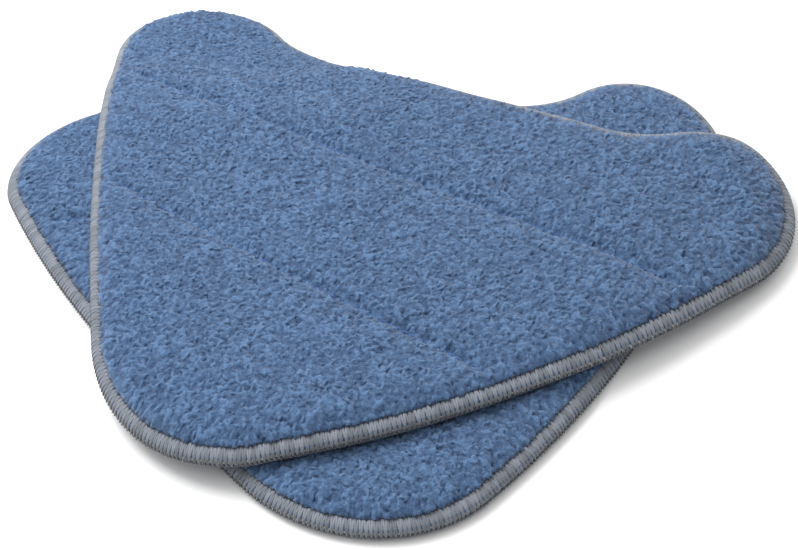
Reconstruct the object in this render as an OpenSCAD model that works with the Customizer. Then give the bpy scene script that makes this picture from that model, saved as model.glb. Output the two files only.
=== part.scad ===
// Pair of triangular steam-mop pads, the upper one lying turned on the lower one.
// Each pad: looped microfibre face, absorbent core and loop backing, overlocked all round,
// with two quilting rows sewn straight across.
// Millimetres. +Z is up, the pads' front corners point to -Y, and the origin is under the
// middle of the stack, on the surface that it lies on.

/* [Pad outline] */
// Width of one pad across its two rear corners
pad_width = 300; // [270:330]
// Depth of one pad from the rear corners to the front corner
pad_depth = 226; // [200:250]
// Radius of each rear corner
corner_radius = 40; // [30:50]
// Radius of the front corner
front_radius = 60; // [45:75]
// Radius of the long side curves
side_radius = 520; // [400:900]
// How far the rear edge lies in front of the rear corners' tips
rear_step = 14; // [6:20]
// Radius of the hollow between a rear corner and the rear edge
rear_hollow_radius = 50; // [30:70]

/* [Layers] */
// Thickness of the loop backing
backing_thickness = 1.2; // [0.8:0.1:2]
// Thickness of the absorbent core
core_thickness = 3.8; // [3:0.1:5]
// Thickness of the microfibre face with its pile
pile_thickness = 5.5; // [4:0.1:7]

/* [Overlocked edge] */
// Width of the overlocked band
band_width = 6.5; // [5:0.5:8]
// Height of the overlocked band
band_height = 6.4; // [5.5:0.1:7]
// Thickness that the looper threads add on each side
thread_thickness = 0.7; // [0.5:0.1:1]
// Width of the row of needle stitches along the band
needle_row_width = 1; // [0.6:0.1:1.5]

/* [Quilting rows] */
// Distance of the rear row in front of the rear corners' centres
rear_row_distance = 34; // [20:50]
// Distance of the front row in front of the rear corners' centres
front_row_distance = 99; // [80:115]
// Width of the channel that each row pulls into the pile
channel_width = 3; // [2:0.5:5]
// Depth of that channel
channel_depth = 3.5; // [2:0.5:4.5]
// Thickness of the sewing thread
row_thread = 0.6; // [0.4:0.1:1]

/* [Stack] */
// Turn of the upper pad, seen from above (minus is clockwise)
upper_turn = -29; // [-60:60]
// How far the upper pad is shifted to the right of the lower one
upper_shift_right = 24; // [-60:60]
// How far the upper pad is shifted to the rear of the lower one
upper_shift_rear = 6; // [-60:60]

/* [Hidden] */
pad_thickness = backing_thickness + core_thickness + pile_thickness;
core_bottom = backing_thickness;
pile_bottom = backing_thickness + core_thickness;

// Corner centres. Each pad is drawn about the middle of its two rear corner centres.
corner_centre = [pad_width / 2 - corner_radius, 0];
front_centre = [0, -(pad_depth - corner_radius - front_radius)];

// Centre of the side curve, which touches the corner's and the front corner's circles from outside.
corner_gap = norm(front_centre - corner_centre);
corner_way = (front_centre - corner_centre) / corner_gap;
side_to_corner = side_radius - corner_radius;
side_to_front = side_radius - front_radius;
side_along = (side_to_corner^2 - side_to_front^2 + corner_gap^2) / (2 * corner_gap);
side_across = sqrt(side_to_corner^2 - side_along^2);
side_centre = corner_centre + side_along * corner_way + side_across * [corner_way.y, -corner_way.x];

// Centre of the hollow, which touches the rear edge and the corner's circle.
rear_line = corner_radius - rear_step;
hollow_centre = [
    corner_centre.x - sqrt((corner_radius + rear_hollow_radius)^2 - (rear_line + rear_hollow_radius)^2),
    rear_line + rear_hollow_radius
];

// Directions, in degrees, in which one curve hands over to the next.
hollow_end = atan2(corner_centre.y - hollow_centre.y, corner_centre.x - hollow_centre.x);
corner_start = hollow_end + 180;
side_start = atan2(corner_centre.y - side_centre.y, corner_centre.x - side_centre.x);
side_end = atan2(front_centre.y - side_centre.y, front_centre.x - side_centre.x);

// The cloth is trimmed this far inside the threads that wrap its edge.
cloth_inset = 0.8;
// The stack of cloths is pressed together inside the band: where the core and the pile start there.
pressed_core = 1.9;
pressed_pile = 3.6;
band_top_cloth = band_height - thread_thickness;
// The upper looper's threads meet the lower looper's half way up the side.
band_middle = band_height / 2;
needle_inset = band_width + needle_row_width;
row_cut_length = 2 * pad_width;
row_thread_width = 2 * row_thread;

// The stack is centred over the origin.
lower_left = pad_width / 2;
lower_front = pad_depth - corner_radius;
upper_right = upper_shift_right + corner_centre.x * cos(upper_turn) + corner_radius;
upper_rear = upper_shift_rear + corner_centre.x * abs(sin(upper_turn)) + corner_radius;
stack_offset = [(lower_left - upper_right) / 2, (lower_front - upper_rear) / 2];

pile_blue = [0.33, 0.49, 0.73];
core_white = [0.86, 0.87, 0.88];
backing_grey = [0.74, 0.77, 0.82];
edge_grey = [0.58, 0.62, 0.70];
row_blue = [0.24, 0.38, 0.62];

// Points on an arc, from one direction to another.
function arc(centre, radius, from, to, steps) =
    [for (i = [0:steps]) centre + radius * [
        cos(from + (to - from) * i / steps),
        sin(from + (to - from) * i / steps)
    ]];

// Right half of the pad's outline, this far inside the edge, from the rear to the front corner's tip.
function right_half(inset) = concat(
    arc(hollow_centre, rear_hollow_radius + inset, -90, hollow_end, 6),
    arc(corner_centre, corner_radius - inset, corner_start, side_start, 22),
    arc(side_centre, side_radius - inset, side_start, side_end, 6),
    arc(front_centre, front_radius - inset, side_end, -90, 9)
);

function mirrored(points) = [for (i = [len(points) - 2:-1:0]) [-points[i].x, points[i].y]];

module pad_outline(inset) {
    polygon(concat(right_half(inset), mirrored(right_half(inset))));
}

module pad_slab(inset, bottom, top) {
    translate([0, 0, bottom])
        linear_extrude(top - bottom)
            pad_outline(inset);
}

// A band that follows the pad's edge.
module edge_band(outer_inset, inner_inset, bottom, top) {
    translate([0, 0, bottom])
        linear_extrude(top - bottom)
            difference() {
                pad_outline(outer_inset);
                pad_outline(inner_inset);
            }
}

// A straight bar across the pad along a quilting row.
module row_bar(distance, width, bottom, top) {
    translate([-row_cut_length / 2, -distance - width / 2, bottom])
        cube([row_cut_length, width, top - bottom]);
}

// The part of that bar that lies inside the overlocked band.
module row_run(distance, width, bottom, top) {
    intersection() {
        pad_slab(needle_inset, bottom, top);
        row_bar(distance, width, bottom - 1, top + 1);
    }
}

module backing_cloth() {
    difference() {
        union() {
            pad_slab(band_width, 0, backing_thickness);
            edge_band(cloth_inset, band_width, thread_thickness, pressed_core);
        }
        for (distance = [rear_row_distance, front_row_distance])
            row_run(distance, row_thread_width, -1, row_thread);
    }
}

module core() {
    pad_slab(band_width, core_bottom, pile_bottom);
    edge_band(cloth_inset, band_width, pressed_core, pressed_pile);
}

module pile_cloth() {
    difference() {
        union() {
            pad_slab(band_width, pile_bottom, band_top_cloth);
            pad_slab(needle_inset, band_top_cloth, pad_thickness);
            edge_band(cloth_inset, band_width, pressed_pile, band_top_cloth);
        }
        for (distance = [rear_row_distance, front_row_distance])
            row_bar(distance, channel_width, pad_thickness - channel_depth, pad_thickness + 1);
    }
}

module lower_looper_thread() {
    edge_band(0, band_width, 0, thread_thickness);
    edge_band(0, cloth_inset, thread_thickness, band_middle);
}

module upper_looper_thread() {
    edge_band(0, band_width, band_top_cloth, band_height);
    edge_band(0, cloth_inset, band_middle, band_top_cloth);
}

module needle_thread() {
    edge_band(band_width, needle_inset, band_top_cloth, band_height);
}

module row_top_thread(distance) {
    channel_floor = pad_thickness - channel_depth;
    row_run(distance, row_thread_width, channel_floor, channel_floor + row_thread);
}

module row_bobbin_thread(distance) {
    row_run(distance, row_thread_width, 0, row_thread);
}

module lower_place() {
    translate(stack_offset) children();
}

module upper_place() {
    translate([stack_offset.x + upper_shift_right, stack_offset.y + upper_shift_rear, pad_thickness])
        rotate(upper_turn)
            children();
}

module lower_pad_backing_cloth() { color(backing_grey) lower_place() backing_cloth(); }
module lower_pad_core() { color(core_white) lower_place() core(); }
module lower_pad_pile_cloth() { color(pile_blue) lower_place() pile_cloth(); }
module lower_pad_lower_looper_thread() { color(edge_grey) lower_place() lower_looper_thread(); }
module lower_pad_upper_looper_thread() { color(edge_grey) lower_place() upper_looper_thread(); }
module lower_pad_needle_thread() { color(edge_grey) lower_place() needle_thread(); }
module lower_pad_rear_row_top_thread() { color(row_blue) lower_place() row_top_thread(rear_row_distance); }
module lower_pad_rear_row_bobbin_thread() {
    color(row_blue) lower_place() row_bobbin_thread(rear_row_distance);
}
module lower_pad_front_row_top_thread() { color(row_blue) lower_place() row_top_thread(front_row_distance); }
module lower_pad_front_row_bobbin_thread() {
    color(row_blue) lower_place() row_bobbin_thread(front_row_distance);
}

module upper_pad_backing_cloth() { color(backing_grey) upper_place() backing_cloth(); }
module upper_pad_core() { color(core_white) upper_place() core(); }
module upper_pad_pile_cloth() { color(pile_blue) upper_place() pile_cloth(); }
module upper_pad_lower_looper_thread() { color(edge_grey) upper_place() lower_looper_thread(); }
module upper_pad_upper_looper_thread() { color(edge_grey) upper_place() upper_looper_thread(); }
module upper_pad_needle_thread() { color(edge_grey) upper_place() needle_thread(); }
module upper_pad_rear_row_top_thread() { color(row_blue) upper_place() row_top_thread(rear_row_distance); }
module upper_pad_rear_row_bobbin_thread() {
    color(row_blue) upper_place() row_bobbin_thread(rear_row_distance);
}
module upper_pad_front_row_top_thread() { color(row_blue) upper_place() row_top_thread(front_row_distance); }
module upper_pad_front_row_bobbin_thread() {
    color(row_blue) upper_place() row_bobbin_thread(front_row_distance);
}

lower_pad_backing_cloth();
lower_pad_core();
lower_pad_pile_cloth();
lower_pad_lower_looper_thread();
lower_pad_upper_looper_thread();
lower_pad_needle_thread();
lower_pad_rear_row_top_thread();
lower_pad_rear_row_bobbin_thread();
lower_pad_front_row_top_thread();
lower_pad_front_row_bobbin_thread();
upper_pad_backing_cloth();
upper_pad_core();
upper_pad_pile_cloth();
upper_pad_lower_looper_thread();
upper_pad_upper_looper_thread();
upper_pad_needle_thread();
upper_pad_rear_row_top_thread();
upper_pad_rear_row_bobbin_thread();
upper_pad_front_row_top_thread();
upper_pad_front_row_bobbin_thread();
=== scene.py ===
"""A pair of triangular steam-mop pads, the upper one lying turned on the lower one.

Each pad is a looped microfibre face on an absorbent core and a loop backing, overlocked all
round with grey thread and quilted with two straight rows. Lengths are in metres.
"""

import math

import bpy
import numpy as np
from mathutils import Matrix, Vector
from mathutils.kdtree import KDTree


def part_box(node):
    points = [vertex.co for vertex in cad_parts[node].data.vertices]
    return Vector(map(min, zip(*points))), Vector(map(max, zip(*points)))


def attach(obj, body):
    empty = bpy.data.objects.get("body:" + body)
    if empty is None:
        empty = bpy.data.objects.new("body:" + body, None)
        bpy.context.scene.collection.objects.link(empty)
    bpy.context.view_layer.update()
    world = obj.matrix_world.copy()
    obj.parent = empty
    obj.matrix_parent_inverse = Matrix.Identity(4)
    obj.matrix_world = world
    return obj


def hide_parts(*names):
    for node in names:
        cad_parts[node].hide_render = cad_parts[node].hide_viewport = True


bl_info = {
    "name": "Steam mop pads",
    "version": (1, 0, 0),
    "blender": (4, 5, 0),
    "location": "3D View > Sidebar > Mop pads",
    "description": "Builds a pair of quilted, overlocked microfibre mop pads around their packed solids",
    "category": "Object",
}

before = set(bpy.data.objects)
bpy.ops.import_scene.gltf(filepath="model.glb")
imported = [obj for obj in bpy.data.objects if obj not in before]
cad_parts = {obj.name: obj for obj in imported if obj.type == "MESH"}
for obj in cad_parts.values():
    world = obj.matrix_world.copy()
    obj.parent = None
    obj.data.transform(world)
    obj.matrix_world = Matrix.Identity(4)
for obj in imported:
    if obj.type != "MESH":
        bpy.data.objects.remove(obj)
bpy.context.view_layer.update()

MM = 0.001
PADS = ("lower_pad", "upper_pad")


def extent(node):
    """Size of a CAD node's box along X, Y and Z."""
    low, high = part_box(node)
    return high - low


# ---------------------------------------------------------------------------------------
# Settings


def length_setting(name, description, default=0.0):
    """A setting in metres."""
    return bpy.props.FloatProperty(name=name, description=description, default=default, unit="LENGTH")


def angle_setting(name, description, default=0.0):
    """A setting that is an angle, in radians."""
    return bpy.props.FloatProperty(name=name, description=description, default=default, subtype="ANGLE")


def colour_setting(name, description, default):
    """A setting that is a colour."""
    return bpy.props.FloatVectorProperty(
        name=name, description=description, default=default, subtype="COLOR",
    )


class PadSizes(bpy.types.PropertyGroup):
    """Sizes of one pad, and how the upper one lies on the lower one."""

    width: length_setting(
        "Width", "Across the two rear corners", extent("lower_pad_lower_looper_thread").x,
    )
    depth: length_setting(
        "Depth", "From the rear corners to the front corner",
        extent("lower_pad_lower_looper_thread").y,
    )
    corner_radius: length_setting("Rear corner radius", "Radius of each rear corner", 0.040)
    front_radius: length_setting("Front corner radius", "Radius of the front corner", 0.060)
    side_radius: length_setting("Side radius", "Radius of the long side curves", 0.520)
    rear_step: length_setting(
        "Rear step", "How far the rear edge lies in front of the rear corners' tips", 0.014,
    )
    hollow_radius: length_setting(
        "Hollow radius", "Radius between a rear corner and the rear edge", 0.050,
    )
    thickness: length_setting(
        "Pad thickness", "Height of the pile's tips above the backing",
        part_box("lower_pad_pile_cloth")[1].z,
    )
    band_width: length_setting("Band width", "Width of the overlocked band", 0.0065)
    rear_row: length_setting(
        "Rear row", "Distance of the rear row in front of the corner centres", 0.034,
    )
    front_row: length_setting(
        "Front row", "Distance of the front row in front of the corner centres", 0.099,
    )
    stitch_pitch: length_setting(
        "Overlock pitch", "Distance from one overlock stitch to the next", 0.0017,
    )
    row_stitch: length_setting("Row stitch", "Length of a stitch of the quilting rows", 0.0032)
    pile_grid: length_setting(
        "Pile grid", "Distance between the points of the pile's mesh", 0.00055,
    )
    tuft: length_setting("Tuft", "Distance between the pile's tufts", 0.0013)
    turn: angle_setting("Turn", "Turn of the upper pad, seen from above", math.radians(-29))
    shift_right: length_setting("Shift right", "Shift of the upper pad to the right", 0.024)
    shift_rear: length_setting("Shift rear", "Shift of the upper pad to the rear", 0.006)
    droop: length_setting(
        "Droop", "How far the upper pad's free corners sink beyond the lower pad", 0.0092,
    )
    droop_run: length_setting(
        "Droop run", "Distance from the lower pad's edge over which they sink", 0.038,
    )
    slack_down: length_setting(
        "Slack down", "How far below that line the simulated cloth may sink", 0.0015,
    )
    slack_up: length_setting(
        "Slack up", "How far above that line the simulated cloth may lift", 0.0008,
    )


class PadLie(bpy.types.PropertyGroup):
    """How one soft pad lies out of its cut shape, as it was put down by hand.

    Each length but the first two is the shift of a place as far from the pad's middle as a rear
    corner's centre is from the pad's middle line. It grows with the distance from the middle.
    """

    turned: angle_setting("Turned", "Turn of the whole pad")
    right: length_setting("Right", "Shift of the whole pad")
    rear: length_setting("Rear", "Shift of the whole pad")
    narrowed: length_setting("Narrowed", "Both sides drawn in towards the middle")
    sides_right: length_setting("Sides right", "Both sides shifted right of the middle")
    sides_rear: length_setting("Sides rear", "Both sides shifted to the rear of the middle")
    ends_right: length_setting("Ends right", "Front and rear shifted right of the middle")
    ends_rear: length_setting("Ends rear", "Front and rear shifted to the rear of the middle")
    corners_right: length_setting("Corners right", "Right rear and left front shifted right")
    corners_rear: length_setting("Corners rear", "Right rear and left front shifted to the rear")


# How each soft pad happens to lie: it was put down by hand, not laid out straight.
LIES = {
    "lower_pad": {
        "turned": math.radians(1.0), "right": 2.0 * MM, "rear": 1.0 * MM,
        "narrowed": 3.0 * MM, "sides_right": -2.5 * MM, "corners_right": -1.0 * MM,
        "sides_rear": -5.3 * MM, "corners_rear": 7.5 * MM, "ends_rear": -1.0 * MM,
    },
    "upper_pad": {
        "turned": math.radians(-1.0), "right": -2.0 * MM, "rear": -1.0 * MM,
        "sides_right": 0.3 * MM, "corners_right": 1.5 * MM, "ends_right": -2.5 * MM,
        "sides_rear": 1.5 * MM, "corners_rear": 14.0 * MM, "ends_rear": 2.0 * MM,
    },
}


class PadColours(bpy.types.PropertyGroup):
    """Colours of the pads' cloths and threads."""

    pile_tip: colour_setting("Pile tips", "Colour of the pile's tips", (0.084, 0.159, 0.295))
    # Painted shade: the colour down in the pile stands in for the shade that falls between the tufts.
    pile_painted_shade: colour_setting("Pile roots", "Colour down in the pile", (0.015, 0.039, 0.104))
    band: colour_setting("Band thread", "Colour of the overlock threads", (0.185, 0.205, 0.24))
    backing: colour_setting("Backing", "Colour of the loop backing", (0.50, 0.55, 0.63))
    felt: colour_setting("Core felt", "Colour of the core", (0.72, 0.74, 0.76))
    row: colour_setting("Row thread", "Colour of the quilting thread", (0.05, 0.12, 0.32))


class StageSettings(bpy.types.PropertyGroup):
    """The camera's settings."""

    camera_azimuth: angle_setting(
        "Camera azimuth", "Turn of the camera round the pads", math.radians(3.8),
    )
    camera_elevation: angle_setting(
        "Camera elevation", "Height of the camera above the floor, as an angle", math.radians(46.8),
    )
    camera_roll: angle_setting(
        "Camera roll", "Tilt of the camera about its own line of sight", math.radians(-2.6),
    )
    camera_distance: length_setting(
        "Camera distance", "From the camera to the point it looks at", 0.60,
    )
    lens: bpy.props.FloatProperty(
        name="Lens", description="Focal length in millimetres on a 36 mm wide sensor", default=72.5,
    )
    target: bpy.props.FloatVectorProperty(
        name="Target", description="Point that the camera looks at", subtype="TRANSLATION",
        default=(0.0082, -0.0307, 0.010),
    )


# ---------------------------------------------------------------------------------------
# Random ripples and tufts, the same on every run


def scatter(ix, iy, seed):
    """A fixed random number from 0 to 1 for each whole-number place."""
    h = (ix.astype(np.int64) * 374761393 + iy.astype(np.int64) * 668265263 + seed * 362437) & 0xFFFFFFFF
    h = ((h ^ (h >> 13)) * 1274126177) & 0xFFFFFFFF
    return ((h ^ (h >> 16)) & 0xFFFFFF) / float(0xFFFFFF)


def ripple(xy, size, seed):
    """Smooth random waves from -1 to 1, about this far apart."""
    p = xy / size
    cell = np.floor(p)
    t = p - cell
    t = t * t * (3 - 2 * t)
    ix, iy = cell[:, 0], cell[:, 1]
    low = scatter(ix, iy, seed) * (1 - t[:, 0]) + scatter(ix + 1, iy, seed) * t[:, 0]
    high = scatter(ix, iy + 1, seed) * (1 - t[:, 0]) + scatter(ix + 1, iy + 1, seed) * t[:, 0]
    return (low * (1 - t[:, 1]) + high * t[:, 1]) * 2 - 1


def tufts(xy, size, seed):
    """For each point, how far its nearest tuft's middle is, and that tuft's own random number."""
    p = xy / size
    cell = np.floor(p)
    best = np.full(len(p), 9.0)
    own = np.zeros(len(p))
    for dx in (-1, 0, 1):
        for dy in (-1, 0, 1):
            ix, iy = cell[:, 0] + dx, cell[:, 1] + dy
            middle = np.c_[
                ix + 0.15 + 0.7 * scatter(ix, iy, seed + 11),
                iy + 0.15 + 0.7 * scatter(ix, iy, seed + 23),
            ]
            way = middle - p
            # Each tuft is a bent loop, so it is longer one way than the other.
            lie = math.pi * scatter(ix, iy, seed + 31)
            along = way[:, 0] * np.cos(lie) + way[:, 1] * np.sin(lie)
            across = way[:, 1] * np.cos(lie) - way[:, 0] * np.sin(lie)
            far = np.hypot(along * 0.72, across * 1.25)
            nearer = far < best
            best = np.where(nearer, far, best)
            own = np.where(nearer, scatter(ix, iy, seed + 47), own)
    return best, own


def ease(t):
    """0 up to the start and 1 from the end on, with a smooth step between."""
    t = np.clip(t, 0, 1)
    return t * t * (3 - 2 * t)


# ---------------------------------------------------------------------------------------
# The pad's plan


def arc(centre, radius, start, end, step=0.0005):
    """Points and outward directions on an arc. A hollow arc, which runs backwards, faces its centre."""
    count = max(2, int(abs(end - start) * radius / step))
    angle = np.linspace(start, end, count, endpoint=False)
    way = np.c_[np.cos(angle), np.sin(angle)]
    facing = -1 if end > start else 1
    return np.asarray(centre) + radius * way, way * facing


class PadPlan:
    """The pad's edge line and how deep any point lies inside it, in the pad's own plane.

    The origin is midway between the centres of the rear corners, and +Y points to the rear edge.
    """

    cell = 0.002
    margin = 0.075

    def __init__(self, sizes):
        corner = np.array([sizes.width / 2 - sizes.corner_radius, 0.0])
        front = np.array([0.0, -(sizes.depth - sizes.corner_radius - sizes.front_radius)])
        gap = np.linalg.norm(front - corner)
        way = (front - corner) / gap
        to_corner = sizes.side_radius - sizes.corner_radius
        to_front = sizes.side_radius - sizes.front_radius
        along = (to_corner**2 - to_front**2 + gap**2) / (2 * gap)
        across = math.sqrt(to_corner**2 - along**2)
        side = corner + along * way + across * np.array([way[1], -way[0]])
        rear = sizes.corner_radius - sizes.rear_step
        reach = math.sqrt(
            (sizes.corner_radius + sizes.hollow_radius) ** 2 - (rear + sizes.hollow_radius) ** 2
        )
        hollow = np.array([corner[0] - reach, rear + sizes.hollow_radius])
        hollow_end = math.atan2(-hollow[1], reach)
        side_start = math.atan2(corner[1] - side[1], corner[0] - side[0])
        side_end = math.atan2(front[1] - side[1], front[0] - side[0])

        straight = np.linspace(0, hollow[0], int(hollow[0] / 0.0005), endpoint=False)
        runs = [
            (np.c_[straight, np.full(len(straight), rear)], np.tile([0.0, 1.0], (len(straight), 1))),
            arc(hollow, sizes.hollow_radius, -math.pi / 2, hollow_end),
            arc(corner, sizes.corner_radius, hollow_end + math.pi, side_start),
            arc(side, sizes.side_radius, side_start, side_end),
            arc(front, sizes.front_radius, side_end, -math.pi / 2),
        ]
        points = np.vstack([r[0] for r in runs])
        facing = np.vstack([r[1] for r in runs])
        flip = np.array([-1.0, 1.0])
        self.points = np.vstack([points, (points * flip)[:0:-1]])
        self.facing = np.vstack([facing, (facing * flip)[:0:-1]])
        steps = np.linalg.norm(np.roll(self.points, -1, axis=0) - self.points, axis=1)
        self.run = np.concatenate([[0.0], np.cumsum(steps)])
        self.length = float(self.run[-1])
        self.low = self.points.min(0) - self.margin
        counts = np.ceil((self.points.max(0) + self.margin - self.low) / self.cell).astype(int) + 2
        gx, gy = np.meshgrid(np.arange(counts[0]), np.arange(counts[1]), indexing="ij")
        lattice = np.c_[gx.ravel(), gy.ravel()] * self.cell + self.low
        self.lattice_shape = gx.shape
        self.lattice = lattice
        self.depth_map = self.exact_depth(lattice)[0].reshape(gx.shape)

    def exact_depth(self, xy):
        """How far inside the edge each point lies (minus outside), and its nearest edge point."""
        coarse = np.arange(0, len(self.points), 2)
        edge, facing = self.points[coarse].astype(np.float32), self.facing[coarse]
        nearest = np.zeros(len(xy), int)
        for at in range(0, len(xy), 20000):
            part = xy[at:at + 20000].astype(np.float32)
            far = (part[:, :1] - edge[:, 0]) ** 2 + (part[:, 1:] - edge[:, 1]) ** 2
            nearest[at:at + 20000] = far.argmin(1)
        depth = ((self.points[coarse][nearest] - xy) * facing[nearest]).sum(1)
        return depth, coarse[nearest]

    def look_up(self, table, xy):
        """A value from a table on the plan's lattice, blended between its places."""
        p = (xy - self.low) / self.cell
        top = np.array(table.shape) - 1.001
        p = np.clip(p, 0, top)
        i = np.floor(p).astype(int)
        t = p - i
        a = table[i[:, 0], i[:, 1]] * (1 - t[:, 0]) + table[i[:, 0] + 1, i[:, 1]] * t[:, 0]
        b = table[i[:, 0], i[:, 1] + 1] * (1 - t[:, 0]) + table[i[:, 0] + 1, i[:, 1] + 1] * t[:, 0]
        return a * (1 - t[:, 1]) + b * t[:, 1]

    def depth(self, xy):
        return self.look_up(self.depth_map, xy)

    def on_edge(self, run, inset):
        """Points at this distance along the edge and this far inside it, and the outward directions."""
        run = np.mod(run, self.length)
        closed = np.vstack([self.points, self.points[:1]])
        facing = np.vstack([self.facing, self.facing[:1]])
        p = np.c_[np.interp(run, self.run, closed[:, 0]), np.interp(run, self.run, closed[:, 1])]
        n = np.c_[np.interp(run, self.run, facing[:, 0]), np.interp(run, self.run, facing[:, 1])]
        n /= np.linalg.norm(n, axis=1)[:, None]
        return p - n * np.asarray(inset).reshape(-1, 1), n

    def patch(self, inset, step):
        """A grid of points over the pad this far inside its edge: points, quads and the rim in order."""
        low = self.points.min(0)
        high = self.points.max(0)
        nx, ny = (int((high[k] - low[k]) / step) + 2 for k in (0, 1))
        gx, gy = np.meshgrid(np.arange(nx), np.arange(ny), indexing="ij")
        xy = np.c_[gx.ravel(), gy.ravel()] * step + low
        inside = (self.depth(xy) >= inset).reshape(nx, ny)
        full = inside[:-1, :-1] & inside[1:, :-1] & inside[:-1, 1:] & inside[1:, 1:]
        i, j = np.nonzero(full)
        number = i * ny + j
        quads = np.c_[number, number + ny, number + ny + 1, number + 1]
        used = np.unique(quads)
        renumber = np.full(nx * ny, -1)
        renumber[used] = np.arange(len(used))
        quads = renumber[quads]
        xy = xy[used]
        sides = np.vstack([quads[:, [k, (k + 1) % 4]] for k in range(4)])
        keys = set(map(tuple, sides.tolist()))
        onward = {a: b for a, b in keys if (b, a) not in keys}
        rim = [next(iter(onward))]
        while onward[rim[-1]] != rim[0]:
            rim.append(onward[rim[-1]])
        if len(rim) != len(onward):
            raise RuntimeError("the pad's grid has more than one rim")
        rim = np.array(rim)
        # The rim's points are pulled out onto the edge line.
        depth, nearest = self.exact_depth(xy[rim])
        xy[rim] += self.facing[nearest] * (depth - inset)[:, None]
        return xy, quads, rim


class PadPlace:
    """Where one pad lies: its turn and shift, and the shape that it has settled into."""

    # From the plan's origin to the pad's middle, towards the front.
    middle = 0.05
    # Slow waves in the cloth: their length and height, and the same in the pad's own plane.
    wave_length, wave_height = 0.055, 0.25 * MM
    wander_length, wander = 0.07, 0.5 * MM

    def __init__(self, name, sizes, plan, lower=None):
        self.name = name
        self.plan = plan
        self.seed = 100 * PADS.index(name)
        low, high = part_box("lower_pad_lower_looper_thread")
        lower_origin = np.array([(low.x + high.x) / 2, high.y - sizes.corner_radius])
        if name == "lower_pad":
            self.turn, self.origin, self.base = 0.0, lower_origin, 0.0
        else:
            self.turn = sizes.turn
            self.origin = lower_origin + [sizes.shift_right, sizes.shift_rear]
            self.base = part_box("upper_pad_backing_cloth")[0].z
        self.lie = getattr(bpy.context.scene, f"mop_{name}_lie")
        self.turn += self.lie.turned
        self.half_span = sizes.width / 2 - sizes.corner_radius
        self.settled = self.settle(sizes, lower)

    def eased(self, xy):
        """Places on the cut pad, moved to where they lie on the pad as it was put down."""
        lie = self.lie
        u = xy[:, 0] / self.half_span
        w = (xy[:, 1] + self.middle) / self.half_span
        right = lie.sides_right * u * u + lie.corners_right * u * w + lie.ends_right * w * w
        rear = lie.sides_rear * u * u + lie.corners_rear * u * w + lie.ends_rear * w * w
        right -= lie.narrowed * u
        return xy + np.c_[right, rear]

    def turned(self, xy):
        """Directions on the pad, turned to their directions in the stack."""
        c, s = math.cos(self.turn), math.sin(self.turn)
        return np.c_[c * xy[:, 0] - s * xy[:, 1], s * xy[:, 0] + c * xy[:, 1]]

    def to_stack(self, xy):
        """Places on the cut pad, moved to where they lie in the stack, seen from above."""
        shift = self.origin + np.array([self.lie.right, self.lie.rear])
        return self.turned(self.eased(xy)) + shift

    def from_stack(self, points):
        """Places in the stack, taken back onto the cut pad."""
        shift = self.origin + np.array([self.lie.right, self.lie.rear])
        c, s = math.cos(self.turn), math.sin(self.turn)
        away = points - shift
        goal = np.c_[c * away[:, 0] + s * away[:, 1], c * away[:, 1] - s * away[:, 0]]
        xy = goal.copy()
        # Each round takes away what the ease still adds, and six leave nothing that shows.
        for _ in range(6):
            xy += goal - self.eased(xy)
        return xy

    def settle(self, sizes, lower):
        """How far the pad's cloth rises or sinks at each place of the plan's lattice."""
        plan = self.plan
        waves = ripple(plan.lattice, self.wave_length, self.seed + 3) * self.wave_height
        if self.name == "lower_pad":
            return (self.wave_height + waves).reshape(plan.lattice_shape)
        stack = self.to_stack(plan.lattice)
        outside = -lower.plan.depth(lower.from_stack(stack))
        height = self.base - sizes.droop * ease(outside / sizes.droop_run)
        xy, sunk = sink_onto(self, lower)
        sunk = spread_over(plan.lattice, xy, sunk)
        height = np.clip(sunk, height - sizes.slack_down, height + sizes.slack_up)
        height = np.maximum(height + waves, bed_height(lower, stack))
        return smoothed((height - self.base).reshape(plan.lattice_shape), 8)

    def place(self, local):
        """Points of the flat pad, moved to where they lie in the stack."""
        xy = local[:, :2]
        drift = [ripple(xy, self.wander_length, self.seed + number) for number in (5, 6)]
        flat = self.to_stack(xy + np.column_stack(drift) * self.wander)
        z = local[:, 2] + self.base + self.plan.look_up(self.settled, xy)
        return np.c_[flat, z]


# ---------------------------------------------------------------------------------------
# The upper pad sinking onto the lower one


# Section of the lower pad as the upper one feels it: distance inside the edge and height, both in
# millimetres.
BED = np.array([[0.0, 0.0], [0.6, 3.2], [2.5, 6.4], [6.5, 8.4], [9.0, 9.8], [13.0, 10.4]])
# Mesh size of the simulated cloth and of the bed under it, the gap kept between the two, how far
# above its place the cloth starts, and how long it sinks.
CLOTH_STEP, BED_STEP = 4.5 * MM, 3.0 * MM
CLEARANCE = 0.8 * MM
DROP = 1.5 * MM
SINKING_FRAMES = 36


def bed_height(lower, points):
    """Height of the floor, or of the lower pad where it lies: its band, then its rounded crown."""
    depth = lower.plan.depth(lower.from_stack(points))
    return np.interp(depth, BED[:, 0] * MM, BED[:, 1] * MM)


def smoothed(table, times):
    """A table with each place averaged with its neighbours, this many times over."""
    for _ in range(times):
        wide = np.pad(table, 1, mode="edge")
        table = (2 * table + wide[:-2, 1:-1] + wide[2:, 1:-1] + wide[1:-1, :-2] + wide[1:-1, 2:]) / 6
    return table


def spread_over(places, known, values, neighbours=6):
    """Values at these places, blended from the nearest known places."""
    tree = KDTree(len(known))
    for number, (x, y) in enumerate(known):
        tree.insert((x, y, 0.0), number)
    tree.balance()
    found = np.empty(len(places))
    for number, (x, y) in enumerate(places):
        near = tree.find_n((x, y, 0.0), neighbours)
        weight = np.array([1 / (hit[2] ** 2 + 1e-7) for hit in near])
        found[number] = (weight * values[[hit[1] for hit in near]]).sum() / weight.sum()
    return found


def plain_mesh(name, points, faces):
    """A bare mesh object, for the simulation only."""
    mesh = bpy.data.meshes.new(name)
    mesh.from_pydata(points.tolist(), [], faces.tolist())
    thing = bpy.data.objects.new(name, mesh)
    bpy.context.scene.collection.objects.link(thing)
    return thing


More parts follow.
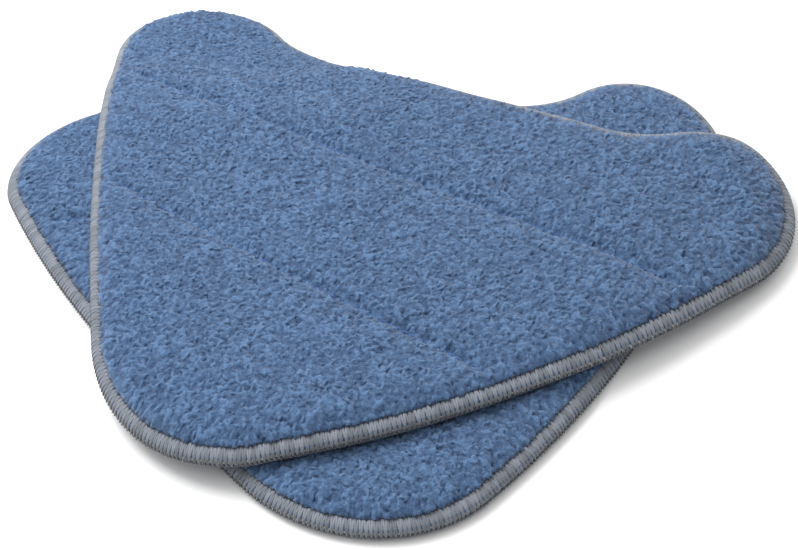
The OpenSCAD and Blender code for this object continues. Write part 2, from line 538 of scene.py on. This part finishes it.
def sink_onto(place, lower):
    """Simulates the upper pad as one heavy, stiff cloth: its places on the plan and their heights."""
    plan = place.plan
    xy, quads, _ = plan.patch(0.0, CLOTH_STEP)
    start = np.c_[place.to_stack(xy), np.full(len(xy), place.base + DROP)]
    cloth = plain_mesh("sinking", start, quads)

    border = 0.03
    reach = start[:, :2].min(0) - border, start[:, :2].max(0) + border
    count = [int((reach[1][k] - reach[0][k]) / BED_STEP) + 2 for k in (0, 1)]
    gx, gy = np.meshgrid(np.arange(count[0]), np.arange(count[1]), indexing="ij")
    ground = np.c_[gx.ravel(), gy.ravel()] * BED_STEP + reach[0]
    corner = (gx[:-1, :-1] * count[1] + gy[:-1, :-1]).ravel()
    cells = np.c_[corner, corner + count[1], corner + count[1] + 1, corner + 1]
    bed = plain_mesh("bed", np.c_[ground, bed_height(lower, ground)], cells)
    bed.modifiers.new("solid", "COLLISION")
    bed.collision.thickness_outer = CLEARANCE
    bed.collision.cloth_friction = 40.0

    folding = cloth.modifiers.new("weight", "CLOTH")
    folding.settings.quality = 8
    folding.settings.mass = 0.05
    folding.settings.tension_stiffness = 40.0
    folding.settings.compression_stiffness = 40.0
    folding.settings.shear_stiffness = 20.0
    folding.settings.bending_stiffness = 8.0
    folding.settings.air_damping = 3.0
    # The quilted core is stiff for its weight, so gravity is turned down against the stiffness.
    folding.settings.effector_weights.gravity = 0.03
    folding.collision_settings.distance_min = CLEARANCE
    folding.collision_settings.collision_quality = 3
    folding.collision_settings.use_self_collision = False
    scene = bpy.context.scene
    folding.point_cache.frame_start = 1
    folding.point_cache.frame_end = SINKING_FRAMES
    for number in range(1, SINKING_FRAMES + 1):
        scene.frame_set(number)
    settled = cloth.evaluated_get(bpy.context.evaluated_depsgraph_get())
    heights = np.array([v.co.z for v in settled.data.vertices])
    scene.frame_set(1)
    for thing in (cloth, bed):
        mesh = thing.data
        bpy.data.objects.remove(thing)
        bpy.data.meshes.remove(mesh)
    # The part that lies well inside the lower pad's edge keeps its height.
    supported = lower.plan.depth(lower.from_stack(start[:, :2])) > 0.03
    heights += place.base - np.median(heights[supported])
    return xy, heights


# ---------------------------------------------------------------------------------------
# Meshes


def new_piece(name, points, faces, material, body, replaced):
    """A mesh object from points and faces, riding on its pad and standing for its CAD nodes."""
    mesh = bpy.data.meshes.new(name)
    mesh.from_pydata(points.tolist(), [], faces if isinstance(faces, list) else faces.tolist())
    mesh.polygons.foreach_set("use_smooth", np.full(len(mesh.polygons), True))
    mesh.materials.append(material)
    mesh.update()
    piece = bpy.data.objects.new(name, mesh)
    bpy.context.scene.collection.objects.link(piece)
    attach(piece, body)
    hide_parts(*replaced)
    return piece


def point_value(piece, name, values):
    """Stores one number for each point, which the material reads by this name."""
    layer = piece.data.attributes.new(name, "FLOAT", "POINT")
    layer.data.foreach_set("value", np.asarray(values, np.float32))


def closed_slab(top, under, quads, rim):
    """Points and faces of a layer with matching top and underside."""
    count = len(top)
    points = np.vstack([top, under])
    after = np.roll(rim, -1)
    wall = np.c_[rim, rim + count, after + count, after]
    faces = np.vstack([quads, quads[:, ::-1] + count, wall])
    return points, faces


def tube(path, side, half_width, half_height, closed):
    """Points and faces of a thread along a path.

    side gives, at each place, the way in which the thread is half_width wide.
    """
    sides = THREAD_SIDES
    if closed:
        ahead = np.roll(path, -1, axis=0) - np.roll(path, 1, axis=0)
    else:
        ahead = np.gradient(path, axis=0)
    ahead /= np.linalg.norm(ahead, axis=1)[:, None]
    across = side - (side * ahead).sum(1)[:, None] * ahead
    across /= np.linalg.norm(across, axis=1)[:, None]
    up = np.cross(ahead, across)
    angle = 2 * math.pi * np.arange(sides) / sides
    ring = (
        path[:, None]
        + across[:, None] * (half_width * np.cos(angle))[None, :, None]
        + up[:, None] * (half_height * np.sin(angle))[None, :, None]
    )
    count = len(path)
    i = np.arange(count if closed else count - 1)[:, None]
    j = np.arange(sides)[None, :]
    onward, beside = (i + 1) % count, (j + 1) % sides
    faces = np.stack(
        [i * sides + j, i * sides + beside, onward * sides + beside, onward * sides + j], axis=-1
    ).reshape(-1, 4)
    faces = faces.tolist()
    if not closed:
        faces.append(list(range(sides))[::-1])
        faces.append([(count - 1) * sides + k for k in range(sides)])
    return ring.reshape(-1, 3), faces


# ---------------------------------------------------------------------------------------
# Finishes


class Value:
    """A shader socket that takes part in sums."""

    def __init__(self, shader, socket):
        self.shader = shader
        self.socket = socket

    def maths(self, operation, *others):
        """A Math node with this value first."""
        inputs = dict(enumerate((self, *others)))
        return self.shader.add("ShaderNodeMath", {"operation": operation}, inputs)

    def reflected(self, operation, other):
        """A Math node with this value second."""
        return self.shader.add("ShaderNodeMath", {"operation": operation}, {0: other, 1: self})

    def __add__(self, other):
        return self.maths("ADD", other)

    __radd__ = __add__

    def __mul__(self, other):
        return self.maths("MULTIPLY", other)

    __rmul__ = __mul__

    def __sub__(self, other):
        return self.maths("SUBTRACT", other)

    def __rsub__(self, other):
        return self.reflected("SUBTRACT", other)

    def clamped(self):
        """The value, held between 0 and 1."""
        return self.maths("MAXIMUM", 0.0).maths("MINIMUM", 1.0)


class Finish:
    """One procedural material."""

    def __init__(self, name):
        self.material = bpy.data.materials.new(name)
        self.material.use_nodes = True
        self.tree = self.material.node_tree
        self.tree.nodes.clear()

    def add(self, kind, settings=None, inputs=None, output=0):
        """Adds a node with its settings, then its values and links, and gives one of its outputs."""
        node = self.tree.nodes.new(kind)
        for key, setting in (settings or {}).items():
            setattr(node, key, setting)
        for key, given in (inputs or {}).items():
            socket = node.inputs[key]
            if isinstance(given, Value):
                self.tree.links.new(given.socket, socket)
            else:
                socket.default_value = given
        return Value(self, node.outputs[output]) if node.outputs else None

    def place(self):
        """Place on the object, in metres."""
        return self.add("ShaderNodeTexCoord", output="Object")

    def stretched(self, vector, scale):
        """A place with its three parts scaled, which stretches a texture."""
        return self.add("ShaderNodeMapping", {}, {"Vector": vector, "Scale": scale})

    def noise(self, vector, scale, detail=2.0, roughness=0.5):
        """Soft random specks from 0 to 1, this many to a metre."""
        return self.add(
            "ShaderNodeTexNoise", {},
            {"Vector": vector, "Scale": scale, "Detail": detail, "Roughness": roughness}, "Fac",
        )

    def stored(self, name):
        """A number stored on the mesh's points."""
        return self.add("ShaderNodeAttribute", {"attribute_name": name}, {}, "Fac")

    def blend(self, factor, first, second):
        """The first colour at 0 and the second at 1."""
        first_colour, second_colour, mixed_colour = 6, 7, 2
        return self.add(
            "ShaderNodeMix", {"data_type": "RGBA", "clamp_factor": True},
            {"Factor": factor, first_colour: first, second_colour: second}, mixed_colour,
        )

    def spread(self, value, low, high):
        """Stretches the middle of a texture's range to 0 to 1."""
        return self.add(
            "ShaderNodeMapRange", {"clamp": True}, {"Value": value, "From Min": low, "From Max": high},
        )

    def bump(self, height, strength, distance):
        """Surface directions from a height."""
        return self.add(
            "ShaderNodeBump", {},
            {"Height": height, "Strength": strength, "Distance": distance}, "Normal",
        )

    def cloth(self, colour, roughness, normal, sheen):
        """Ends the material with a matt cloth surface."""
        surface = self.add(
            "ShaderNodeBsdfPrincipled", {},
            {
                "Base Color": colour, "Roughness": roughness, "Normal": normal,
                "Specular IOR Level": 0.2, "Sheen Weight": sheen, "Sheen Roughness": 0.5,
            },
        )
        self.add("ShaderNodeOutputMaterial", {}, {"Surface": surface})
        return self.material


def rgba(colour, factor=1.0):
    """A setting's colour, made lighter or darker by a factor."""
    return (*(min(1.0, c * factor) for c in colour), 1.0)


def pile_finish(colours):
    """Blue microfibre pile, with painted shade: darker the lower it lies between the tufts, pale at the
    tufts' tips, and threads of slightly different blues.
    """
    f = Finish("microfibre_pile")
    place = f.place()
    height = f.stored("tip")
    own = f.stored("tuft")
    speck = f.spread(f.noise(place, 1100.0, 3.0, 0.65), 0.3, 0.7)
    cloudy = f.noise(place, 28.0, 3.0, 0.55)
    # Painted shade: the lower a place lies in the pile, the darker its colour.
    shade = (height * 0.75 + speck * 0.5 + own * 0.3 - 0.3).clamped()
    blue = f.blend(shade, rgba(colours.pile_painted_shade), rgba(colours.pile_tip))
    pale = f.spread(own * 0.6 + speck * 0.4, 0.55, 0.8)
    blue = f.blend(pale * 0.35, blue, rgba(colours.pile_tip, 1.5))
    worn = f.spread(cloudy, 0.3, 0.75)
    blue = f.blend(worn * 0.22, blue, rgba(colours.pile_tip, 0.62))
    roughness = 0.82 + speck * 0.15
    fibres = f.noise(f.stretched(place, (1.0, 1.0, 0.6)), 2600.0, 2.0, 0.6)
    normal = f.bump(fibres + speck * 1.2, 0.55, 0.0005)
    return f.cloth(blue, roughness, normal, 0.25)


def thread_finish(name, colour, strand_scale, sheen):
    """Textured thread: fine fibres along it, and stitches that differ a little."""
    f = Finish(name)
    place = f.place()
    own = f.stored("strand")
    fuzz = f.noise(place, strand_scale, 3.0, 0.65)
    soil = f.noise(place, 45.0, 2.0, 0.5)
    shade = (own * 0.55 + fuzz * 0.65).clamped()
    tone = f.blend(shade, rgba(colour, 0.55), rgba(colour, 1.3))
    tone = f.blend(f.spread(soil, 0.45, 0.8) * 0.25, tone, rgba(colour, 0.6))
    # Painted shade: the thread is darkened where the mesh marks it, low on the band's side.
    tone = f.blend(f.stored("grime") * 0.6, tone, rgba(colour, 0.4))
    normal = f.bump(fuzz, 0.5, 0.0003)
    return f.cloth(tone, 0.75 + fuzz * 0.2, normal, sheen)


def backing_finish(colours):
    """Brushed loop knit: rows of small loops under a thin fuzz."""
    f = Finish("loop_backing")
    place = f.place()
    loops = f.add(
        "ShaderNodeTexVoronoi", {"feature": "F1"},
        {"Vector": f.stretched(place, (1.0, 1.45, 0.2)), "Scale": 620.0, "Randomness": 0.45}, "Distance",
    )
    fuzz = f.noise(place, 1500.0, 3.0, 0.6)
    cloudy = f.noise(place, 30.0, 2.0, 0.5)
    shade = (f.spread(loops, 0.75, 0.1) * 0.7 + fuzz * 0.45).clamped()
    tone = f.blend(shade, rgba(colours.backing, 0.55), rgba(colours.backing, 1.12))
    tone = f.blend(f.spread(cloudy, 0.4, 0.8) * 0.2, tone, rgba(colours.backing, 0.75))
    normal = f.bump(shade, 0.6, 0.0006)
    return f.cloth(tone, 0.85 + fuzz * 0.1, normal, 0.3)


def felt_finish(colours):
    """Needled felt: matted fibres, slightly mottled."""
    f = Finish("core_felt")
    place = f.place()
    fibres = f.noise(f.stretched(place, (1.0, 1.0, 3.0)), 700.0, 4.0, 0.7)
    mottle = f.noise(place, 60.0, 2.0, 0.5)
    tone = f.blend(fibres, rgba(colours.felt, 0.7), rgba(colours.felt, 1.1))
    tone = f.blend(mottle * 0.3, tone, rgba(colours.felt, 0.8))
    return f.cloth(tone, 0.9 - fibres * 0.1, f.bump(fibres, 0.4, 0.0005), 0.1)


def paper_finish():
    """The pale floor."""
    f = Finish("pale_floor")
    cloudy = f.noise(f.place(), 3.0, 2.0, 0.5)
    tone = f.blend(cloudy, (0.86, 0.86, 0.86, 1.0), (0.89, 0.89, 0.89, 1.0))
    surface = f.add(
        "ShaderNodeBsdfPrincipled", {},
        {"Base Color": tone, "Roughness": 1.0, "Specular IOR Level": 0.0},
    )
    f.add("ShaderNodeOutputMaterial", {}, {"Surface": surface})
    return f.material


# ---------------------------------------------------------------------------------------
# The pad's layers


# The cloths end this far inside the looper threads that wrap them.
BAND_CLOTH_INSET = 1.5 * MM
# Width over which the pad goes from its pressed band to its full thickness.
SOFT_EDGE = 1.5 * MM

# Height of the pile just inside the band and under the band's threads, and the run over which it
# rises to its full height.
PILE_AT_BAND = 6.0 * MM
PILE_UNDER_BAND = 5.25 * MM
PILE_RISE_RUN = 2.2 * MM

# One tuft: its radius as a share of the tufts' spacing, its height and how far its tip leans over.
TUFT_RADIUS = 0.78
TUFT_HEIGHT = 1.30 * MM
TUFT_LEAN = 0.42 * MM
# Waves that stir the tufts' places, and fine and broad waves in their height: length and size.
STIR = (2.6 * MM, 0.7 * MM)
FINE_WAVES = (0.7 * MM, 0.34 * MM)
BROAD_WAVES = (5.5 * MM, 0.30 * MM)
# The outer tufts spill this far over the band, and less and less over this run further in.
SPILL = 3.7 * MM
SPILL_RUN = 3.5 * MM


def in_body(sizes, depth):
    """0 inside the pressed band and 1 in the pad's thick middle."""
    return ease((depth - sizes.band_width + SOFT_EDGE / 2) / SOFT_EDGE)


def row_dip(sizes, xy, deep, narrow):
    """How far the two quilting rows pull a surface down."""
    dip = np.zeros(len(xy))
    for row in (sizes.rear_row, sizes.front_row):
        dip += deep * np.exp(-(((xy[:, 1] + row) / narrow) ** 2))
    return dip


def backing_heights(sizes, xy, depth):
    """Underside and top of the backing cloth."""
    body = in_body(sizes, depth)
    under = 0.75 * MM * (1 - body) + row_dip(sizes, xy, 0.7 * MM, 1.2 * MM) * body
    return under, np.maximum(under + 0.5 * MM, 1.2 * MM * body + 1.9 * MM * (1 - body))


def core_heights(sizes, xy, depth):
    """Underside and top of the core."""
    body = in_body(sizes, depth)
    under = 1.25 * MM * body + 1.95 * MM * (1 - body)
    crown = 5.0 * MM - row_dip(sizes, xy, 0.9 * MM, 3 * MM)
    return under, crown * body + 3.55 * MM * (1 - body)


def pile_ground(sizes, xy, depth):
    """Mean height of the pile, without its tufts."""
    full = sizes.thickness - 1.0 * MM
    inside = np.maximum(depth - sizes.band_width - 0.3 * MM, 0)
    crown = PILE_AT_BAND + (full - PILE_AT_BAND) * (1 - np.exp(-inside / PILE_RISE_RUN))
    clear = ease((depth - sizes.band_width - 1.5 * MM) / (6 * MM))
    crown -= (row_dip(sizes, xy, 1.5 * MM, 1.8 * MM) + row_dip(sizes, xy, 0.9 * MM, 7 * MM)) * clear
    return np.where(depth > sizes.band_width, crown, PILE_UNDER_BAND)


def build_pile_cloth(place, sizes, material):
    """The looped face: a closed cloth whose top is drawn up into separate tufts."""
    plan = place.plan
    xy, quads, rim = plan.patch(BAND_CLOTH_INSET, sizes.pile_grid)
    depth = plan.depth(xy)
    seed = place.seed
    lively = ease((depth - sizes.band_width) / (0.8 * MM))

    stirred = xy + np.c_[ripple(xy, STIR[0], seed + 1), ripple(xy, STIR[0], seed + 2)] * STIR[1]
    far, own = tufts(stirred, sizes.tuft, seed)
    dome = np.sqrt(np.clip(1 - (far / TUFT_RADIUS) ** 2, 0, 1))
    stature = 0.55 + 0.75 * own
    rise = TUFT_HEIGHT * dome * stature
    rise += FINE_WAVES[1] * ripple(xy, FINE_WAVES[0], seed + 7)
    rise += BROAD_WAVES[1] * ripple(xy, BROAD_WAVES[0], seed + 8)
    lean = 2 * math.pi * scatter(np.floor(own * 4096), np.floor(own * 977), seed + 9)
    lying = np.c_[np.cos(lean), np.sin(lean)] * (TUFT_LEAN * dome * lively)[:, None]

    ground = pile_ground(sizes, xy, depth) - 0.15 * MM
    z = ground + (rise - 0.5 * MM) * lively
    ceiling = sizes.thickness - (0.25 * MM if place.name == "lower_pad" else 0.0)
    z = np.minimum(z, ceiling)
    spill = SPILL * np.exp(-np.maximum(depth - sizes.band_width, 0) / SPILL_RUN) * lively
    outward = plan.facing[plan.exact_depth(xy[rim])[1]]
    spread = lying.copy()
    near = (depth < sizes.band_width + 4 * SPILL_RUN) & (depth > sizes.band_width)
    reach = (spill * (0.65 + 0.35 * dome))[near][:, None]
    spread[near] += plan.facing[plan.exact_depth(xy[near])[1]] * reach

    top = place.place(np.c_[xy + spread, z])
    edge_bottom = place.place(np.c_[xy[rim], np.full(len(rim), 3.6 * MM)])
    inner = xy[rim] - outward * (sizes.band_width + 0.4 * MM)
    inner_low = place.place(np.c_[inner, np.full(len(rim), 3.7 * MM)])
    inner_high = place.place(np.c_[inner, np.full(len(rim), 5.05 * MM)])
    count, ring = len(top), len(rim)
    points = np.vstack([top, edge_bottom, inner_low, inner_high])
    order = np.arange(ring)
    after = np.roll(order, -1)
    loops = [rim, count + order, count + ring + order, count + 2 * ring + order]
    faces = quads.tolist()
    for upper, lower in zip(loops, loops[1:]):
        faces += np.c_[upper, lower, lower[after], upper[after]].tolist()
    faces.append(loops[-1][::-1].tolist())

    piece = new_piece(
        f"{place.name}_face", points, faces, material, place.name,
        [f"{place.name}_pile_cloth"],
    )
    # Painted light and shade: the tufts' heights colour the pile darker lower down, and near the band
    # the pile is coloured fairly pale, which lightens the shade under its overhang.
    tip = np.zeros(len(points))
    tip[:count] = np.clip(dome * stature * 0.85 * lively + 0.6 * (1 - lively), 0, 1)
    tuft = np.full(len(points), 0.5)
    tuft[:count] = own
    point_value(piece, "tip", tip)
    point_value(piece, "tuft", tuft)
    return piece


def build_layer(place, sizes, name, inset, step, heights, material, slot, fuzz):
    """The core or the backing: a closed layer whose two sides follow the pad's section."""
    plan = place.plan
    xy, quads, rim = plan.patch(inset, step)
    depth = plan.depth(xy)
    under, top = heights(sizes, xy, depth)
    top = top + fuzz * ripple(xy, 3 * step, place.seed + 13)
    points, faces = closed_slab(
        place.place(np.c_[xy, top]), place.place(np.c_[xy, under]), quads, rim,
    )
    return new_piece(
        f"{place.name}_{name}", points, faces, material, place.name,
        [f"{place.name}_{'core' if slot == 'core_felt' else 'backing_cloth'}"],
    )


# ---------------------------------------------------------------------------------------
# Threads


# Section of the overlocked band, from the needle line over the top and round to half way up
# the side: distance inside the edge and height, both in millimetres.
BAND_TOP = np.array(
    [[7.0, 5.3], [6.2, 5.85], [4.6, 6.1], [3.1, 5.8], [1.8, 5.0], [0.9, 3.9], [0.5, 2.3]]
)
# The same for the underside.
BAND_UNDER = np.array(
    [[7.0, 0.75], [6.2, 0.45], [4.6, 0.38], [2.9, 0.42], [1.6, 0.8], [1.0, 1.6], [0.75, 2.9]]
)
THREAD_SIDES = 6


def per_stitch(stitches, use, seed):
    """A fixed random number from 0 to 1 for each stitch, another one for each use."""
    return scatter(np.arange(stitches), np.full(stitches, use), seed)


def looper_path(plan, sizes, section, half_shift, seed):
    """One looper's thread: out from the needle line over the band and back, stitch by stitch."""
    stitches = int(round(plan.length / sizes.stitch_pitch))
    pitch = plan.length / stitches
    out_run = np.linspace(0, 1, len(section)) * 0.5 * pitch
    run, inset, z = [], [], []
    for way in (0, 1):
        shape = section if way == 0 else section[::-1]
        run.append((way * 0.5 * pitch + out_run)[:-1])
        inset.append(shape[:-1, 0] * MM)
        z.append(shape[:-1, 1] * MM)
    run, inset, z = (np.concatenate(x) for x in (run, inset, z))
    jitter = 0.22 * pitch * (per_stitch(stitches, 0, seed) - 0.5)
    wide = 0.5 * MM * (per_stitch(stitches, 1, seed) - 0.5)
    swing = np.sin(math.pi * np.arange(len(run)) / len(run))
    start = np.arange(stitches)[:, None] * pitch + half_shift * pitch
    run = start + run[None] + jitter[:, None] * swing[None]
    towards_needle = np.clip((inset - 5.5 * MM) / (1.5 * MM), 0, 1)
    inset = inset[None] + wide[:, None] * towards_needle[None]
    z = np.broadcast_to(z, run.shape)
    own = np.repeat(per_stitch(stitches, 2, seed), run.shape[1])
    return run.ravel(), inset.ravel(), z.ravel(), own


def build_looper(place, sizes, name, node, section, half_shift, material):
    """A looper thread of the overlocked edge."""
    plan = place.plan
    seed = place.seed + 17 + int(half_shift * 10)
    run, inset, z, own = looper_path(plan, sizes, section, half_shift, seed)
    xy, facing = plan.on_edge(run, inset)
    path = place.place(np.c_[xy, z])
    # The thread is widest along the edge.
    ahead = np.c_[facing[:, 1], -facing[:, 0]]
    side = np.c_[place.turned(ahead), np.zeros(len(ahead))]
    points, faces = tube(path, side, 0.50 * MM, 0.32 * MM, True)
    piece = new_piece(
        f"{place.name}_{name}", points, faces, material, place.name,
        [f"{place.name}_{node}"],
    )
    point_value(piece, "strand", np.repeat(own, THREAD_SIDES))
    # Painted shade: the thread is coloured darker low on the band's side, where shade falls.
    painted_shade_low = 1 - np.clip((z - 2.2 * MM) / (3.2 * MM), 0, 1)
    point_value(piece, "grime", np.repeat(painted_shade_low, THREAD_SIDES))
    return piece


def build_needle_thread(place, sizes, material):
    """The row of needle stitches along the inside of the band."""
    plan = place.plan
    stitches = int(round(plan.length / sizes.stitch_pitch))
    pitch = plan.length / stitches
    share = np.array([0.0, 0.18, 0.5, 0.82])
    lift = np.array([-0.75, 0.1, 0.3, 0.1]) * MM
    run = (np.arange(stitches)[:, None] * pitch + share[None] * pitch).ravel()
    z = 6.0 * MM + np.tile(lift, stitches)
    uneven = 0.3 * MM * (per_stitch(stitches, 0, place.seed + 29) - 0.5)
    inset = 6.95 * MM + np.repeat(uneven, len(share))
    xy, facing = plan.on_edge(run, inset)
    path = place.place(np.c_[xy, z])
    side = np.c_[place.turned(facing), np.zeros(len(facing))]
    points, faces = tube(path, side, 0.32 * MM, 0.28 * MM, True)
    piece = new_piece(
        f"{place.name}_needle_stitches", points, faces, material, place.name,
        [f"{place.name}_needle_thread"],
    )
    own = np.repeat(per_stitch(stitches, 3, place.seed + 29), len(share) * THREAD_SIDES)
    point_value(piece, "strand", own)
    return piece


def build_row_thread(place, sizes, row, distance, thread, rest, dive, material):
    """One thread of a quilting row: short stitches that dive into the pad at their ends."""
    plan = place.plan
    probe = np.linspace(-sizes.width / 2, sizes.width / 2, 2001)
    inside = plan.depth(np.c_[probe, np.full(len(probe), -distance)]) > sizes.band_width + 4.0 * MM
    low, high = probe[inside].min(), probe[inside].max()
    stitches = int((high - low) / sizes.row_stitch)
    share = np.array([0.0, 0.12, 0.35, 0.65, 0.88])
    lift = np.array([dive, 0.35 * dive, 0.0, 0.0, 0.35 * dive])
    x = low + ((np.arange(stitches)[:, None] + share[None]) * (high - low) / stitches).ravel()
    z = rest + np.tile(lift, stitches)
    y = np.full(len(x), -distance)
    path = place.place(np.c_[x, y, z])
    side = np.tile([0.0, 0.0, 1.0], (len(path), 1))
    points, faces = tube(path, side, 0.27 * MM, 0.3 * MM, False)
    piece = new_piece(
        f"{place.name}_{row}_{thread}", points, faces, material, place.name,
        [f"{place.name}_{row}_{thread}_thread"],
    )
    own = np.repeat(per_stitch(stitches, 5, place.seed + 37), len(share) * THREAD_SIDES)
    point_value(piece, "strand", own)
    return piece


# ---------------------------------------------------------------------------------------
# Operators


class Workbench:
    """The plan and the two places, made once and shared by the operators."""

    made = None

    @classmethod
    def get(cls):
        if cls.made is None:
            sizes = bpy.context.scene.mop_pad_sizes
            plan = PadPlan(sizes)
            lower = PadPlace("lower_pad", sizes, plan)
            cls.made = [lower, PadPlace("upper_pad", sizes, plan, lower)]
        return cls.made


class MOPPADS_OT_faces(bpy.types.Operator):
    """Build the blue looped face of each pad"""

    bl_idname = "mop_pads.faces"
    bl_label = "Looped faces"

    def execute(self, context):
        material = pile_finish(context.scene.mop_pad_colours)
        for place in Workbench.get():
            build_pile_cloth(place, context.scene.mop_pad_sizes, material)
        return {"FINISHED"}


class MOPPADS_OT_cores(bpy.types.Operator):
    """Build the absorbent core of each pad"""

    bl_idname = "mop_pads.cores"
    bl_label = "Cores"

    def execute(self, context):
        sizes = context.scene.mop_pad_sizes
        material = felt_finish(context.scene.mop_pad_colours)
        for place in Workbench.get():
            core = build_layer(
                place, sizes, "felt_core", BAND_CLOTH_INSET, 2.0 * MM, core_heights, material,
                "core_felt", 0.1 * MM,
            )
        return {"FINISHED"}


class MOPPADS_OT_backings(bpy.types.Operator):
    """Build the loop backing of each pad"""

    bl_idname = "mop_pads.backings"
    bl_label = "Backings"

    def execute(self, context):
        sizes = context.scene.mop_pad_sizes
        material = backing_finish(context.scene.mop_pad_colours)
        for place in Workbench.get():
            backing = build_layer(
                place, sizes, "backing", BAND_CLOTH_INSET, 1.0 * MM, backing_heights, material,
                "backing_cloth", 0.0,
            )
            trim = 2 * BAND_CLOTH_INSET
            flat = (sizes.width - trim, sizes.depth - trim)
            plan = place.plan
            area = float((plan.depth_map > BAND_CLOTH_INSET).sum()) * plan.cell**2
        return {"FINISHED"}


class MOPPADS_OT_overlock(bpy.types.Operator):
    """Build the overlocked edge of each pad: two looper threads and the needle thread"""

    bl_idname = "mop_pads.overlock"
    bl_label = "Overlocked edges"

    def execute(self, context):
        sizes = context.scene.mop_pad_sizes
        material = thread_finish("overlock_thread", context.scene.mop_pad_colours.band, 1400.0, 0.3)
        for place in Workbench.get():
            build_looper(place, sizes, "upper_looper", "upper_looper_thread", BAND_TOP, 0.0, material)
            build_looper(place, sizes, "lower_looper", "lower_looper_thread", BAND_UNDER, 0.5, material)
            build_needle_thread(place, sizes, material)
        return {"FINISHED"}


class MOPPADS_OT_rows(bpy.types.Operator):
    """Build the top and bobbin threads of the two quilting rows of each pad"""

    bl_idname = "mop_pads.rows"
    bl_label = "Quilting rows"

    def execute(self, context):
        sizes = context.scene.mop_pad_sizes
        material = thread_finish("quilting_thread", context.scene.mop_pad_colours.row, 1800.0, 0.15)
        for place in Workbench.get():
            for row, distance in (("rear_row", sizes.rear_row), ("front_row", sizes.front_row)):
                build_row_thread(place, sizes, row, distance, "top", 7.4 * MM, -1.2 * MM, material)
                build_row_thread(place, sizes, row, distance, "bobbin", 0.3 * MM, 0.5 * MM, material)
        return {"FINISHED"}


class MOPPADS_OT_stage(bpy.types.Operator):
    """Build the floor, the lights and the camera"""

    bl_idname = "mop_pads.stage"
    bl_label = "Stage"

    def execute(self, context):
        scene = context.scene
        settings = scene.mop_pad_stage
        floor_mesh = bpy.data.meshes.new("floor")
        half = 6.0
        floor_mesh.from_pydata(
            [(-half, -half, 0), (half, -half, 0), (half, half, 0), (-half, half, 0)], [], [(0, 1, 2, 3)],
        )
        floor_mesh.materials.append(paper_finish())
        floor = bpy.data.objects.new("floor", floor_mesh)
        scene.collection.objects.link(floor)

        world = bpy.data.worlds.new("soft_studio")
        world.use_nodes = True
        sky = world.node_tree.nodes["Background"]
        sky.inputs["Color"].default_value = (1.0, 1.0, 1.0, 1.0)
        sky.inputs["Strength"].default_value = 0.45
        scene.world = world

        # A soft box to the rear left, and an even light from high above that reaches the whole floor.
        for name, kind, position, power in (
            ("key_light", "AREA", (-0.34, 0.20, 0.62), 5.5),
            ("top_light", "SUN", (-0.30, 0.30, 1.25), 1.7),
        ):
            data = bpy.data.lights.new(name, kind)
            data.energy = power
            if kind == "AREA":
                data.size = 0.45
            else:
                data.angle = math.radians(90)
            lamp = bpy.data.objects.new(name, data)
            lamp.location = position
            lamp.rotation_mode = "QUATERNION"
            lamp.rotation_quaternion = (-Vector(position)).to_track_quat("-Z", "Y")
            scene.collection.objects.link(lamp)

        a, e = settings.camera_azimuth, settings.camera_elevation
        back = Vector((math.sin(a) * math.cos(e), -math.cos(a) * math.cos(e), math.sin(e)))
        data = bpy.data.cameras.new("camera")
        data.sensor_width = 36.0
        data.lens = settings.lens
        data.clip_start = 0.01
        camera = bpy.data.objects.new("camera", data)
        camera.location = Vector(settings.target) + back * settings.camera_distance
        aim = (-back).to_track_quat("-Z", "Y").to_matrix().to_4x4()
        aim = aim @ Matrix.Rotation(settings.camera_roll, 4, "Z")
        camera.rotation_euler = aim.to_euler()
        scene.collection.objects.link(camera)
        scene.camera = camera
        scene.view_settings.view_transform = "Standard"
        return {"FINISHED"}


class MOPPADS_PT_panel(bpy.types.Panel):
    """Lists the build steps and the settings."""

    bl_label = "Mop pads"
    bl_idname = "MOPPADS_PT_panel"
    bl_space_type = "VIEW_3D"
    bl_region_type = "UI"
    bl_category = "Mop pads"

    def draw(self, context):
        for operator in OPERATORS:
            self.layout.operator(operator.bl_idname)
        lies = [f"mop_{name}_lie" for name in PADS]
        groups = ["mop_pad_sizes", *lies, "mop_pad_colours", "mop_pad_stage"]
        for group in (getattr(context.scene, name) for name in groups):
            box = self.layout.box()
            for key in group.bl_rna.properties.keys():
                if key not in ("rna_type", "name"):
                    box.prop(group, key)


OPERATORS = (
    MOPPADS_OT_stage, MOPPADS_OT_backings, MOPPADS_OT_cores, MOPPADS_OT_faces,
    MOPPADS_OT_overlock, MOPPADS_OT_rows,
)
SETTINGS = (PadSizes, PadLie, PadColours, StageSettings)


def register():
    for cls in (*SETTINGS, *OPERATORS, MOPPADS_PT_panel):
        bpy.utils.register_class(cls)
    bpy.types.Scene.mop_pad_sizes = bpy.props.PointerProperty(type=PadSizes)
    for name in PADS:
        setattr(bpy.types.Scene, f"mop_{name}_lie", bpy.props.PointerProperty(type=PadLie))
    bpy.types.Scene.mop_pad_colours = bpy.props.PointerProperty(type=PadColours)
    bpy.types.Scene.mop_pad_stage = bpy.props.PointerProperty(type=StageSettings)


def unregister():
    lies = [f"mop_{name}_lie" for name in PADS]
    for name in ("mop_pad_sizes", "mop_pad_colours", "mop_pad_stage", *lies):
        delattr(bpy.types.Scene, name)
    for cls in reversed((*SETTINGS, *OPERATORS, MOPPADS_PT_panel)):
        bpy.utils.unregister_class(cls)


def main():
    register()
    for name, lie in LIES.items():
        for key, length in lie.items():
            setattr(getattr(bpy.context.scene, f"mop_{name}_lie"), key, length)
    bpy.ops.mop_pads.stage()
    bpy.ops.mop_pads.backings()
    bpy.ops.mop_pads.cores()
    bpy.ops.mop_pads.faces()
    bpy.ops.mop_pads.overlock()
    bpy.ops.mop_pads.rows()


if __name__ == "__main__":
    main()
